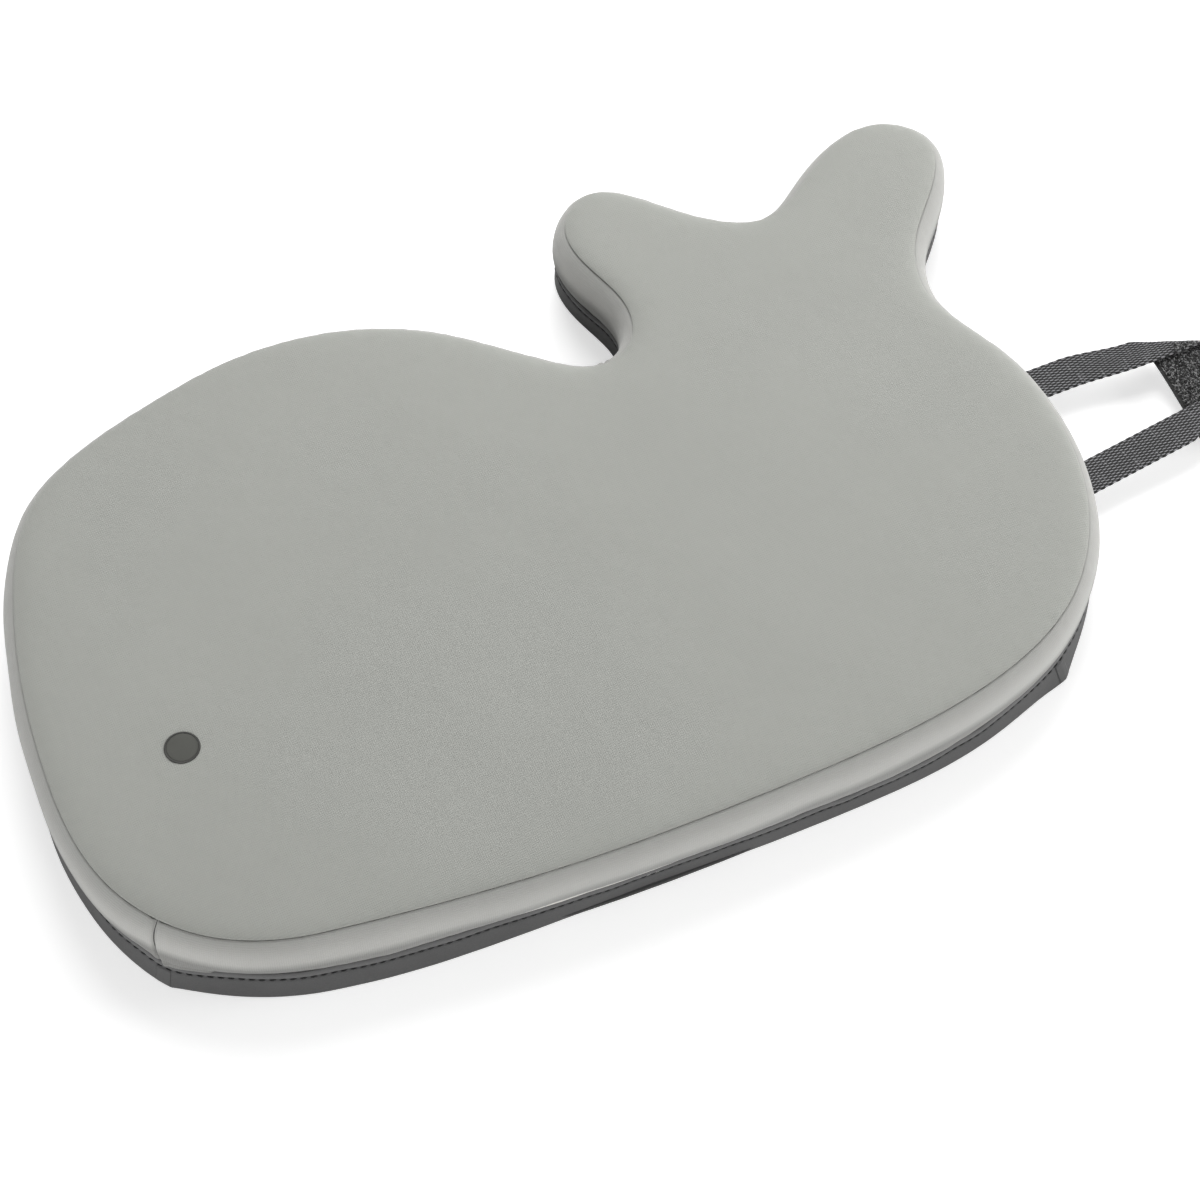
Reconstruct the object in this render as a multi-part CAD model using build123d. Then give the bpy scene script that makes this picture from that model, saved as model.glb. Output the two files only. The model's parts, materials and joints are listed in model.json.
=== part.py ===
from build123d import *
import math
import os

# A whale-shaped kneeling pad: foam in a sewn fabric cover, on a non-slip base, with a webbing hanging loop.
# Millimetres. +Z up, the underside on Z = 0, nose towards -X, hanging loop towards +X, back towards +Y.

# Overall sizes, over the base rim
pad_length = 450.0
pad_width = 298.0
pad_height = 37.0

# Heights, from the underside up
base_thickness = 2.2
rim_height = 8.4
lip_height = 2.0
groove_height = 1.1
seam_height = 34.0

# How far each layer stands out from the top seam
rim_spread = 6.5
lip_spread = 5.8
band_foot_spread = 4.0
band_bulge_spread = 4.6
band_bulge_height = 20.0

# Thicknesses and clearances
cover_thickness = 1.6
groove_depth = 0.7
thread_thickness = 0.5
thread_gap = 0.05
layer_gap = 0.2
join_gap = 1.0
top_edge_inset = 3.0
top_flat_inset = 8.0
top_edge_rise = 2.0

# The eye
eye_diameter = 13.6
eye_thickness = 0.5
eye_edge_width = 0.7
eye_x = -169.0
eye_y = -39.5

# The hanging loop
webbing_width = 15.0
webbing_thickness = 1.5
webbing_sink = 0.7
upper_leg_y = -4.6
lower_leg_y = -53.7
lower_leg_heading = 7.0
stub_length = 4.5
swing_gap = 1.4
peel_gap = 1.4
upper_leg_length = 43.0
fold_angle = 27.0
fold_drop = 3.9
lower_leg_length = 43.0
tab_near_length = 3.0
tab_cut_angle = 28.0
root_depth = 16.0
slot_clearance = 0.15
pile_width = 20.0
pile_thickness = 1.5
pile_overhang = 3.0
pile_setback = 9.5
hook_thickness = 0.8
hook_setback = 7.0
tape_inset = 1.0
tack_length = 2.0
tack_thickness = 0.8
stitch_inset = 1.2
stitch_thickness = 0.3
stitch_rise = 0.08

# The top seam's outline, as drawn for a seam 436 long and 284 wide
drawn_length = 436.0
drawn_width = 284.0
stem_point = (198.5, -34.0)
outline_points = [
    (-149.0, -129.0),
    (-60.0, -140.0),
    (40.0, -142.0),
    (109.0, -136.0),
    (164.0, -113.0),
    (192.0, -72.5),
    stem_point,
    (192.5, 3.0),
    (180.0, 40.0),
    (189.0, 66.5),
    (209.5, 90.5),
    (217.5, 112.0),
    (203.5, 127.0),
    (179.0, 124.0),
    (157.0, 110.0),
    (137.0, 100.5),
    (116.0, 109.0),
    (94.5, 130.0),
    (75.5, 142.0),
    (60.5, 133.0),
    (58.5, 111.0),
    (65.5, 82.5),
    (59.5, 65.5),
    (44.5, 59.5),
    (22.0, 72.5),
    (-20.0, 107.0),
    (-74.5, 122.0),
    (-139.0, 111.0),
    (-185.5, 87.5),
    (-205.5, 49.5),
    (-218.5, -25.0),
    (-211.5, -82.5),
    (-186.5, -114.0),
]
scale_x = (pad_length - 2 * rim_spread) / drawn_length
scale_y = (pad_width - 2 * rim_spread) / drawn_width
seam_points = [(x * scale_x, y * scale_y) for x, y in outline_points]

# Where the cover's strips are joined, as shares of the outline's length
nose_join = 0.957
belly_join = 0.223
back_join = 0.62


def spread_points(spread):
    """The seam's points, each moved outwards by the spread, square to its neighbours."""
    count = len(seam_points)
    moved = []
    for i, (x, y) in enumerate(seam_points):
        before = Vector(*seam_points[i - 1])
        after = Vector(*seam_points[(i + 1) % count])
        here = Vector(x, y)
        along = (here - before).normalized() + (after - here).normalized()
        out = Vector(along.Y, -along.X).normalized()
        moved.append((x + out.X * spread, y + out.Y * spread))
    return moved


def outline(spread, height):
    """The pad's outline as a face at a height, standing out from the top seam by the spread."""
    edge = Spline(*[(x, y, height) for x, y in spread_points(spread)], periodic=True)
    return make_face(Wire([edge]))


def slab(spread, bottom, top):
    return extrude(outline(spread, bottom), top - bottom, dir=(0, 0, 1))


def stack(levels):
    """A solid through outlines, given as (height, spread) from the bottom up."""
    return loft([outline(spread, height) for height, spread in levels], ruled=True)


def ring(outer, inner, bottom, top):
    return slab(outer, bottom, top) - slab(inner, bottom, top)


def join_plane(share):
    """A plane that crosses the outline at a share of its length, X along the outline, Y inwards."""
    edge = Spline(*[(x, y, 0) for x, y in seam_points], periodic=True)
    return Plane(origin=edge.position_at(share), x_dir=edge.tangent_at(share), z_dir=(0, 0, 1))


def knife(share, width):
    """A tall thin block across the cover's edge at a join."""
    reach = 2 * (rim_spread + cover_thickness) + 6
    block = Box(width, reach, pad_height, align=(Align.CENTER, Align.CENTER, Align.MIN))
    return join_plane(share) * block


def split_at(strip, first, second):
    """Cuts a closed strip at two joins and gives its belly part, then its back part."""
    parts = strip - knife(first, join_gap) - knife(second, join_gap)
    return sorted(parts.solids(), key=lambda s: s.center().Y)


def plate(points, bottom, thickness):
    face = make_face(Polyline(*[(x, y, bottom) for x, y in points], close=True))
    return extrude(face, thickness, dir=(0, 0, 1))


# The hanging loop's plan, and its height: it comes out between the rim and its binding
webbing_height = rim_height - webbing_sink
fold_tail_height = webbing_height - fold_drop
side_x = stem_point[0] * scale_x + rim_spread
swing_x = side_x + stub_length
root_end_x = swing_x - swing_gap
leg_start_x = swing_x + swing_gap
root_start_x = side_x - root_depth
half_width = webbing_width / 2
swing_height = webbing_height + webbing_thickness / 2
heading = math.radians(lower_leg_heading)


def along_lower(distance, side):
    """A point on the lower leg: distance from the swing line, side positive towards the upper leg."""
    x = swing_x + distance * math.cos(heading) - side * math.sin(heading)
    y = lower_leg_y + distance * math.sin(heading) + side * math.cos(heading)
    return (x, y)


def lower_at_x(x, side):
    """The point of the lower leg's edge at an X."""
    distance = (x - swing_x + side * math.sin(heading)) / math.cos(heading)
    return along_lower(distance, side)


def upper_root_points(margin):
    far, near = upper_leg_y + half_width + margin, upper_leg_y - half_width - margin
    start, end = root_start_x - margin, root_end_x
    return [(start, near), (end, near), (end, far), (start, far)]


def lower_root_points(margin):
    side = half_width + margin
    start, end = root_start_x - margin, root_end_x
    return [
        lower_at_x(start, -side),
        lower_at_x(end, -side),
        lower_at_x(end, side),
        lower_at_x(start, side),
    ]


def tack_points(leg_y, margin):
    """A row of close stitches across a strap's sewn end."""
    x = root_start_x + 3
    width = half_width - stitch_inset + margin
    return [
        (x - margin, leg_y - width),
        (x + tack_length + margin, leg_y - width),
        (x + tack_length + margin, leg_y + width),
        (x - margin, leg_y + width),
    ]


lower_tack_y = lower_at_x(root_start_x + 3 + tack_length / 2, 0)[1]
tack_bottom = webbing_height + webbing_thickness


def strap_pockets():
    """The room that the sewn-in strap ends need inside the cover and the foam."""
    bottom = webbing_height - slot_clearance
    height = webbing_thickness + 2 * slot_clearance
    pockets = plate(upper_root_points(slot_clearance), bottom, height)
    pockets += plate(lower_root_points(slot_clearance), bottom, height)
    tack_height = tack_thickness + slot_clearance
    pockets += plate(tack_points(upper_leg_y, slot_clearance), tack_bottom, tack_height)
    pockets += plate(tack_points(lower_tack_y, slot_clearance), tack_bottom, tack_height)
    return pockets


pockets = strap_pockets()


# The foam, the cover and the base
band_levels = [
    (base_thickness + layer_gap, band_foot_spread),
    (rim_height + lip_height, band_foot_spread),
    (band_bulge_height, band_bulge_spread),
    (seam_height - thread_thickness, 0.0),
]


def make_foam_core():
    inset = cover_thickness + layer_gap
    return stack([(height, spread - inset) for height, spread in band_levels]) - pockets


def make_top_panel():
    levels = [
        (seam_height, 0.0),
        (seam_height + top_edge_rise, -top_edge_inset),
        (pad_height, -top_flat_inset),
    ]
    return stack(levels)


def make_side_bands():
    """The cover's side, in two lengths that meet at the nose and behind the tail."""
    band = stack(band_levels)
    band -= stack([(height, spread - cover_thickness) for height, spread in band_levels])
    seams = [band & knife(share, join_gap - 2 * layer_gap) for share in (nose_join, back_join)]
    bands = split_at(band - pockets, nose_join, back_join)
    return bands, seams


def make_top_seam():
    """The sewing thread between the top panel and the side bands."""
    return ring(thread_thickness / 2, -cover_thickness, seam_height - thread_thickness, seam_height)


def make_base_panel():
    return slab(band_foot_spread, 0, base_thickness)


def make_rim():
    """The base's turned-up edge, with the groove that its stitches pull in."""
    inner = band_foot_spread + layer_gap
    groove_bottom = rim_height - groove_height
    body = ring(rim_spread, inner, 0, groove_bottom)
    body += ring(rim_spread - groove_depth, inner, groove_bottom, rim_height)
    return body - pockets


def make_rim_thread():
    """The top stitching that lies in the rim's groove."""
    inner = rim_spread - groove_depth + thread_gap
    bottom = rim_height - groove_height + layer_gap
    top = rim_height - layer_gap
    thread = ring(inner + thread_thickness, inner, bottom, top) - pockets
    return thread - knife(nose_join, join_gap) - knife(belly_join, join_gap)


def make_lip():
    """The rounded binding along the rim's upper edge."""
    inner = band_foot_spread + 2 * layer_gap
    return ring(lip_spread, inner, rim_height, rim_height + lip_height) - pockets


def make_rim_corner(share):
    """The pointed overlap where two lengths of rim meet."""
    width = join_gap - 2 * layer_gap
    inner = band_foot_spread + layer_gap
    depth = rim_spread - inner
    block = Box(width, depth, rim_height, align=(Align.CENTER, Align.MAX, Align.MIN))
    return join_plane(share) * Pos(0, -inner, 0) * block


# The eye
def make_eye_disc():
    return Pos(eye_x * scale_x, eye_y * scale_y, pad_height) * Cylinder(
        eye_diameter / 2 - eye_edge_width - layer_gap / 2,
        eye_thickness,
        align=(Align.CENTER, Align.CENTER, Align.MIN),
    )


def make_eye_edge():
    disc = Cylinder(eye_diameter / 2, eye_thickness, align=(Align.CENTER, Align.CENTER, Align.MIN))
    hole = Cylinder(
        eye_diameter / 2 - eye_edge_width,
        eye_thickness,
        align=(Align.CENTER, Align.CENTER, Align.MIN),
    )
    return Pos(eye_x * scale_x, eye_y * scale_y, pad_height) * (disc - hole)


# The hanging loop
fold = math.radians(fold_angle)
fold_slope = math.tan(fold)
fold_line = Vector(math.cos(fold), -math.sin(fold))
fold_out = Vector(math.sin(fold), math.cos(fold))
upper_near_y = upper_leg_y - half_width
fold_far = Vector(swing_x + upper_leg_length, upper_leg_y + half_width)
fold_near = fold_far + fold_line * (webbing_width / math.sin(fold))


def make_upper_strap():
    """The upper leg, folded under across a slanted line, with its short tail beneath."""
    leg_points = [
        (leg_start_x, upper_near_y),
        (fold_near.X, upper_near_y),
        (fold_far.X, fold_far.Y),
        (leg_start_x, fold_far.Y),
    ]
    leg = plate(leg_points, webbing_height, webbing_thickness)
    tail_corner_x = fold_far.X + webbing_width / math.tan(2 * fold)
    tail_points = [
        (fold_far.X, fold_far.Y),
        (fold_near.X, fold_near.Y),
        (tail_corner_x, upper_near_y),
    ]
    tail = plate(tail_points, fold_tail_height, webbing_thickness)
    outer = (webbing_height + webbing_thickness - fold_tail_height) / 2
    turn = Plane(
        origin=(fold_far.X, fold_far.Y, fold_tail_height + outer),
        x_dir=(fold_out.X, fold_out.Y, 0),
        z_dir=(fold_line.X, fold_line.Y, 0),
    )
    bend_face = Circle(outer) - Circle(outer - webbing_thickness)
    bend_face -= Pos(-outer, 0) * Rectangle(2 * outer, 4 * outer)
    bend = extrude(turn * bend_face, (fold_near - fold_far).length, dir=turn.z_dir)
    return leg + tail + bend


pile_bottom = fold_tail_height + webbing_thickness
pile_left = fold_far.X + pile_setback
pile_right = pile_left + pile_width
pile_end_y = lower_leg_y - half_width + pile_overhang


def pile_top_y(x):
    """The soft tape's upper end, which follows the fold."""
    return fold_far.Y - (x - fold_far.X) * fold_slope - tape_inset / math.cos(fold)


def make_pile_tape():
    """The soft half of the closure, sewn to the folded tail and crossing the loop."""
    points = [
        (pile_left, pile_end_y),
        (pile_right, pile_end_y),
        (pile_right, pile_top_y(pile_right)),
        (pile_left, pile_top_y(pile_left)),
    ]
    return plate(points, pile_bottom, pile_thickness)


def make_pile_stitches():
    """The rows of stitches that hold the soft tape, along its two edges."""
    rows = []
    for x in (pile_left + stitch_inset, pile_right - stitch_inset):
        points = [
            (x - stitch_thickness, pile_end_y + stitch_inset),
            (x + stitch_thickness, pile_end_y + stitch_inset),
            (x + stitch_thickness, upper_near_y - stitch_inset),
            (x - stitch_thickness, upper_near_y - stitch_inset),
        ]
        rows.append(plate(points, pile_bottom + pile_thickness, stitch_rise))
    return rows


def make_lower_strap():
    points = [
        lower_at_x(leg_start_x, -half_width),
        along_lower(lower_leg_length - peel_gap, -half_width),
        along_lower(lower_leg_length - peel_gap, half_width),
        lower_at_x(leg_start_x, half_width),
    ]
    return plate(points, webbing_height, webbing_thickness)


tab_slope = math.tan(math.radians(tab_cut_angle))
tab_start = lower_leg_length + peel_gap
tab_near_end = lower_leg_length + tab_near_length
tab_far_end = tab_near_end + webbing_width / tab_slope


def tab_points(start, margin):
    """The free end's outline, cut on the slant, drawn in by a margin."""
    side = half_width - margin
    drop = margin / math.cos(math.radians(tab_cut_angle)) + margin
    near_side = max(-side, -half_width + (start - tab_near_end) * tab_slope + drop)
    near_end = tab_near_end + (near_side + half_width - drop) / tab_slope
    far_end = tab_near_end + (side + half_width - drop) / tab_slope
    points = [along_lower(start, near_side), along_lower(far_end, side), along_lower(start, side)]
    if near_end > start + layer_gap:
        points.insert(1, along_lower(near_end, near_side))
    return points


def make_strap_tab():
    return plate(tab_points(tab_start, 0), webbing_height, webbing_thickness)


def make_hook_tape():
    """The hook half of the closure, under the lower strap's free end."""
    points = tab_points(tab_start + hook_setback, tape_inset)
    return plate(points, webbing_height - hook_thickness, hook_thickness)


def make_hook_stitches():
    """The line of stitches through the free end, over the hook tape's far edge."""
    side = half_width - tape_inset - stitch_inset
    start = tab_start + hook_setback
    end = tab_far_end - 2 * hook_setback
    points = [
        along_lower(start, side - stitch_thickness),
        along_lower(end, side - stitch_thickness),
        along_lower(end, side + stitch_thickness),
        along_lower(start, side + stitch_thickness),
    ]
    return plate(points, webbing_height + webbing_thickness, stitch_rise)


# All the pieces, by node
bands, band_seams = make_side_bands()
rims = split_at(make_rim(), nose_join, belly_join)
lips = split_at(make_lip(), nose_join, belly_join)
nodes = {
    "foam_core": make_foam_core(),
    "top_panel": make_top_panel(),
    "top_seam": make_top_seam(),
    "side_band_belly": bands[0],
    "side_band_back": bands[1],
    "band_seam_nose": band_seams[0],
    "band_seam_tail": band_seams[1],
    "base_panel": make_base_panel(),
    "base_rim_belly": rims[0],
    "base_rim_back": rims[1:],
    "rim_lip_belly": lips[0],
    "rim_lip_back": lips[1:],
    "rim_corner_nose": make_rim_corner(nose_join),
    "rim_corner_belly": make_rim_corner(belly_join),
    "rim_topstitch": make_rim_thread().solids(),
    "eye_disc": make_eye_disc(),
    "eye_edge": make_eye_edge(),
    "upper_strap_root": plate(upper_root_points(0), webbing_height, webbing_thickness),
    "lower_strap_root": plate(lower_root_points(0), webbing_height, webbing_thickness),
    "upper_root_tack": plate(tack_points(upper_leg_y, 0), tack_bottom, tack_thickness),
    "lower_root_tack": plate(tack_points(lower_tack_y, 0), tack_bottom, tack_thickness),
    "upper_strap": make_upper_strap(),
    "pile_tape": make_pile_tape(),
    "pile_stitches": make_pile_stitches(),
    "lower_strap": make_lower_strap(),
    "strap_tab": make_strap_tab(),
    "hook_tape": make_hook_tape(),
    "hook_stitches": make_hook_stitches(),
}

os.makedirs("parts", exist_ok=True)
for name, shape in nodes.items():
    group = shape if isinstance(shape, list) else [shape]
    solids = [solid for item in group for solid in item.solids()]
    export_step(Compound(children=solids), os.path.join("parts", name + ".step"))

print("swing axis", round(swing_x, 3), round(swing_height, 3))
print("peel axis", [round(v, 3) for v in along_lower(lower_leg_length, 0)], lower_leg_heading)
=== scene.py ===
import json
import math

import bmesh
import bpy
import numpy as np
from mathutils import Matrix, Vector
from mathutils.geometry import delaunay_2d_cdt


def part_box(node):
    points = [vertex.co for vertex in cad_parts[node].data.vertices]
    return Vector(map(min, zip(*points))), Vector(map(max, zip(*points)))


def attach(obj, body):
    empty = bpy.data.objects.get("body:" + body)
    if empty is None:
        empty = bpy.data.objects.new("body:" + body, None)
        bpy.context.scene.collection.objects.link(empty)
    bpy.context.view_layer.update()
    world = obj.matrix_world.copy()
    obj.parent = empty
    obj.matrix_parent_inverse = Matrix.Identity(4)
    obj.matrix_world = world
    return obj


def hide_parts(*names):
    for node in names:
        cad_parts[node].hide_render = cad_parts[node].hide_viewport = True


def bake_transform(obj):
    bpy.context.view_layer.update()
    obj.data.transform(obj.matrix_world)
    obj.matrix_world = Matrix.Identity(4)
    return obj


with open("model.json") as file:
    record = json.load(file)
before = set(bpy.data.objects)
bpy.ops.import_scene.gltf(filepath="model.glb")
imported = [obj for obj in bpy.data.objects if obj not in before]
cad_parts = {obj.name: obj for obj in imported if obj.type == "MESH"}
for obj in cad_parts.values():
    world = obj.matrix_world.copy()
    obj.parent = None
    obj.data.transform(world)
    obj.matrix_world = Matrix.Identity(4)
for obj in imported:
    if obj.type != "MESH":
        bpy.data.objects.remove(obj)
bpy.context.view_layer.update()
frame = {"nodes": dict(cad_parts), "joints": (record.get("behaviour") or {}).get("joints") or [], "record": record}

MM = 0.001
seeded = np.random.default_rng(11)
record_colors = {m["slot"]: m["base_color"][:3] for m in frame["record"]["materials"]}

# Heights and places that come from the frame, in millimetres
SEAM_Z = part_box("top_panel")[0].z / MM
TOP_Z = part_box("top_panel")[1].z / MM
RIM_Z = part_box("base_rim_belly")[1].z / MM
LIP_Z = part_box("rim_lip_belly")[1].z / MM
SHEET_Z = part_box("base_panel")[1].z / MM
STRAP_LOW, STRAP_HIGH = (corner.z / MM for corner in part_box("lower_strap"))
STRAP_Z = (STRAP_LOW + STRAP_HIGH) / 2
STRAP_THICK = STRAP_HIGH - STRAP_LOW


# ---------------------------------------------------------------- camera and light
def add_camera():
    """A long lens, at the height and angle of a product picture taken from over the nose."""
    data = bpy.data.cameras.new("camera")
    data.lens = 90
    data.sensor_width = 36
    camera = bpy.data.objects.new("camera", data)
    camera.location = (-0.2497, -0.599, 1.0024)
    camera.rotation_euler = (math.radians(90 - 57.8), 0, math.radians(-24))
    bpy.context.scene.collection.objects.link(camera)
    bpy.context.scene.camera = camera


def add_softbox(name, place, size, power):
    data = bpy.data.lights.new(name, "AREA")
    data.shape = "DISK"
    data.size = size
    data.energy = power
    light = bpy.data.objects.new(name, data)
    light.location = place
    light.rotation_euler = (-Vector(place)).to_track_quat("-Z", "Y").to_euler()
    bpy.context.scene.collection.objects.link(light)


def add_studio():
    """A big soft light behind, a low one in front, and a dim even room."""
    world = bpy.data.worlds.new("studio")
    world.use_nodes = True
    world.node_tree.nodes["Background"].inputs["Color"].default_value = (1, 1, 1, 1)
    world.node_tree.nodes["Background"].inputs["Strength"].default_value = 0.275
    bpy.context.scene.world = world
    bpy.context.scene.view_settings.view_transform = "Standard"
    add_softbox("back_light", (0.54, 1.2, 1.23), 1.3, 29.5)
    add_softbox("front_light", (-0.5, -1.9, 0.35), 1.0, 9)
    add_softbox("right_light", (1.9, -0.6, 0.5), 0.8, 26)
    add_softbox("left_light", (-1.9, -0.7, 0.3), 0.8, 14)


# ---------------------------------------------------------------- meshes
def finish_mesh(name, vertices, faces, material, weave=None, smooth=True):
    """A new piece from millimetres, with its faces turned outwards."""
    mesh = bpy.data.meshes.new(name)
    mesh.from_pydata((np.asarray(vertices, float) * MM).tolist(), [], [list(f) for f in faces])
    work = bmesh.new()
    work.from_mesh(mesh)
    bmesh.ops.recalc_face_normals(work, faces=work.faces)
    work.to_mesh(mesh)
    work.free()
    mesh.polygons.foreach_set("use_smooth", [smooth] * len(mesh.polygons))
    if weave is not None:
        layer = mesh.attributes.new("weave", "FLOAT_VECTOR", "POINT")
        layer.data.foreach_set("vector", np.asarray(weave, np.float32).ravel())
    mesh.materials.append(material)
    piece = bpy.data.objects.new(name, mesh)
    bpy.context.scene.collection.objects.link(piece)
    return piece


def grid_faces(rows, columns, wrap_rows=False, wrap_columns=False, start=0):
    """Quads of a grid whose vertices are stored row by row."""
    faces = []
    for i in range(rows if wrap_rows else rows - 1):
        for j in range(columns if wrap_columns else columns - 1):
            a, b = i * columns, ((i + 1) % rows) * columns
            k = (j + 1) % columns
            faces.append((start + a + j, start + a + k, start + b + k, start + b + j))
    return faces


def rounded(points, count):
    """Points along a smooth line through the given ones."""
    points = np.array(points, float)
    place = np.linspace(0, len(points) - 1, count)
    i = np.clip(place.astype(int), 0, len(points) - 2)
    f = (place - i)[:, None]
    p0, p1 = points[np.maximum(i - 1, 0)], points[i]
    p2, p3 = points[i + 1], points[np.minimum(i + 2, len(points) - 1)]
    bend = 2 * p0 - 5 * p1 + 4 * p2 - p3
    return p1 + 0.5 * f * (p2 - p0 + f * (bend + f * (3 * (p1 - p2) + p3 - p0)))


def smooth_step(value, low, high):
    t = np.clip((value - low) / (high - low), 0, 1)
    return t * t * (3 - 2 * t)


def waves(along, spans, size, seed):
    """A smooth uneven line: a few waves of the given spans, in millimetres."""
    phases = np.random.default_rng(seed).uniform(0, 2 * math.pi, len(spans))
    total = sum(np.sin(2 * math.pi * along / s + p) for s, p in zip(spans, phases))
    return size * total / math.sqrt(len(spans))


# ---------------------------------------------------------------- the pad's outline
def read_outline():
    """The top seam's line in plan, read from the top panel's lower edge, belly side first."""
    points = np.array([v.co for v in frame["nodes"]["top_panel"].data.vertices]) / MM
    low = np.unique(points[points[:, 2] < SEAM_Z + 0.1][:, :2].round(4), axis=0)
    order, left = [0], np.arange(1, len(low))
    while len(left):
        nearest = np.argmin(((low[left] - low[order[-1]]) ** 2).sum(1))
        order.append(left[nearest])
        left = np.delete(left, nearest)
    line = low[order]
    x, y = line.T
    if (x * np.roll(y, -1) - np.roll(x, -1) * y).sum() < 0:
        line = line[::-1]
    return line


def even_line(line, start, count=4096, blur=1.3):
    """The line at even steps from near a point, with the facets blurred away."""
    nearest = np.argmin(((line - start) ** 2).sum(1))
    line = np.roll(line, -nearest, axis=0)
    closed = np.vstack([line, line[:1]])
    length = np.r_[0, np.cumsum(np.hypot(*np.diff(closed, axis=0).T))]
    steps = np.linspace(0, length[-1], count, endpoint=False)
    even = np.stack([np.interp(steps, length, closed[:, k]) for k in (0, 1)], 1)
    turns = np.fft.fftfreq(count, length[-1] / count) * 2 * math.pi
    keep = np.exp(-0.5 * (turns * blur) ** 2)[:, None]
    return np.fft.ifft(np.fft.fft(even, axis=0) * keep, axis=0).real, length[-1]


def centre_of(node):
    low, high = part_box(node)
    return np.array(((low + high) / 2).xy) / MM


FINE_LINE, LENGTH = even_line(read_outline(), centre_of("band_seam_nose"))
FINE_S = np.arange(len(FINE_LINE)) * LENGTH / len(FINE_LINE)


def place_on_line(point):
    return FINE_S[np.argmin(((FINE_LINE - point) ** 2).sum(1))]


NOSE_S = 0.0
BELLY_S = place_on_line(centre_of("rim_corner_belly"))
TAIL_S = place_on_line(centre_of("band_seam_tail"))


def make_stations():
    """Places along the outline: 2 mm apart, and closer beside the joins."""
    steps = [np.arange(0, LENGTH, 2.0)]
    for join in (NOSE_S, BELLY_S, TAIL_S):
        steps.append((join + np.arange(-7, 7.01, 0.4)) % LENGTH)
    steps = np.unique(np.concatenate(steps + [[NOSE_S, BELLY_S, TAIL_S]]).round(3))
    keep = np.r_[True, np.diff(steps) > 0.15] | np.isin(steps, np.round([BELLY_S, TAIL_S], 3))
    return steps[keep]


STATIONS = make_stations()


def along_line(s):
    """Points on the outline, and the directions that stand out from it."""
    s = np.asarray(s) % LENGTH
    ring = np.vstack([FINE_LINE, FINE_LINE[:1]])
    at = np.r_[FINE_S, LENGTH]
    slope = np.roll(FINE_LINE, -1, 0) - np.roll(FINE_LINE, 1, 0)
    slope /= np.hypot(*slope.T)[:, None]
    slope = np.vstack([slope, slope[:1]])
    points = np.stack([np.interp(s, at, ring[:, k]) for k in (0, 1)], -1)
    tangent = np.stack([np.interp(s, at, slope[:, k]) for k in (0, 1)], -1)
    tangent /= np.linalg.norm(tangent, axis=-1)[..., None]
    return points, np.stack([tangent[..., 1], -tangent[..., 0]], -1)


def gap_to(s, place):
    """Distance along the outline from a place, the short way round."""
    return (s - place + LENGTH / 2) % LENGTH - LENGTH / 2


def stretch(first, last):
    """The stations from one place to another, going round past the start where needed."""
    turned = (STATIONS - first) % LENGTH
    span = (last - first) % LENGTH or LENGTH
    inside = np.sort(turned[(turned > 0.1) & (turned < span - 0.1)])
    return first + np.r_[0, inside, span]


def sweep(name, profile, first, last, material, shape=None):
    """A strip along the outline. The profile is a closed loop of (spread, height).
    shape changes the spreads and heights by the place along the outline."""
    s = stretch(first, last)
    points, out = along_line(s)
    spread = np.repeat(profile[:, :1], len(s), 1)
    height = np.repeat(profile[:, 1:], len(s), 1)
    if shape:
        spread, height = shape(s, spread, height)
    xy = points[None] + out[None] * spread[..., None]
    vertices = np.concatenate([xy, height[..., None]], -1)
    around = np.r_[0, np.cumsum(np.hypot(*np.diff(profile, axis=0).T))]
    weave = np.stack(
        [np.repeat(s[None], len(profile), 0), np.repeat(around[:, None], len(s), 1), 0 * height], -1
    )
    faces = grid_faces(len(profile), len(s), wrap_rows=True)
    faces.append([j * len(s) for j in range(len(profile))])
    faces.append([j * len(s) + len(s) - 1 for j in range(len(profile))])
    return finish_mesh(name, vertices.reshape(-1, 3), faces, material, weave.reshape(-1, 3))


# ---------------------------------------------------------------- materials
def new_material(name):
    material = bpy.data.materials.new(name)
    material.use_nodes = True
    return material, material.node_tree, material.node_tree.nodes["Principled BSDF"]


def math_node(tree, operation, a, b=0.0):
    node = tree.nodes.new("ShaderNodeMath")
    node.operation = operation
    for socket, value in zip(node.inputs, (a, b)):
        if isinstance(value, (int, float)):
            socket.default_value = value
        else:
            tree.links.new(value, socket)
    return node.outputs[0]


def noise_node(tree, scale, detail=3.0, roughness=0.55):
    """Noise in the frame's own space; scale is lumps per metre."""
    place = tree.nodes.new("ShaderNodeTexCoord")
    node = tree.nodes.new("ShaderNodeTexNoise")
    node.inputs["Scale"].default_value = scale
    node.inputs["Detail"].default_value = detail
    node.inputs["Roughness"].default_value = roughness
    tree.links.new(place.outputs["Object"], node.inputs["Vector"])
    return node.outputs["Fac"]


def weave_parts(tree):
    """The three numbers stored at the piece's points."""
    source = tree.nodes.new("ShaderNodeAttribute")
    source.attribute_name = "weave"
    split = tree.nodes.new("ShaderNodeSeparateXYZ")
    tree.links.new(source.outputs["Vector"], split.inputs["Vector"])
    return split.outputs


def weave_axes(tree):
    """The piece's own weave coordinates, in millimetres: along it, across it."""
    parts = weave_parts(tree)
    return parts["X"], parts["Y"]


def ramp(tree, value, low, high, dark, light):
    """Maps low..high to dark..light."""
    node = tree.nodes.new("ShaderNodeMapRange")
    tree.links.new(value, node.inputs["Value"])
    for key, number in zip(("From Min", "From Max", "To Min", "To Max"), (low, high, dark, light)):
        node.inputs[key].default_value = number
    return node.outputs["Result"]


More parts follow.
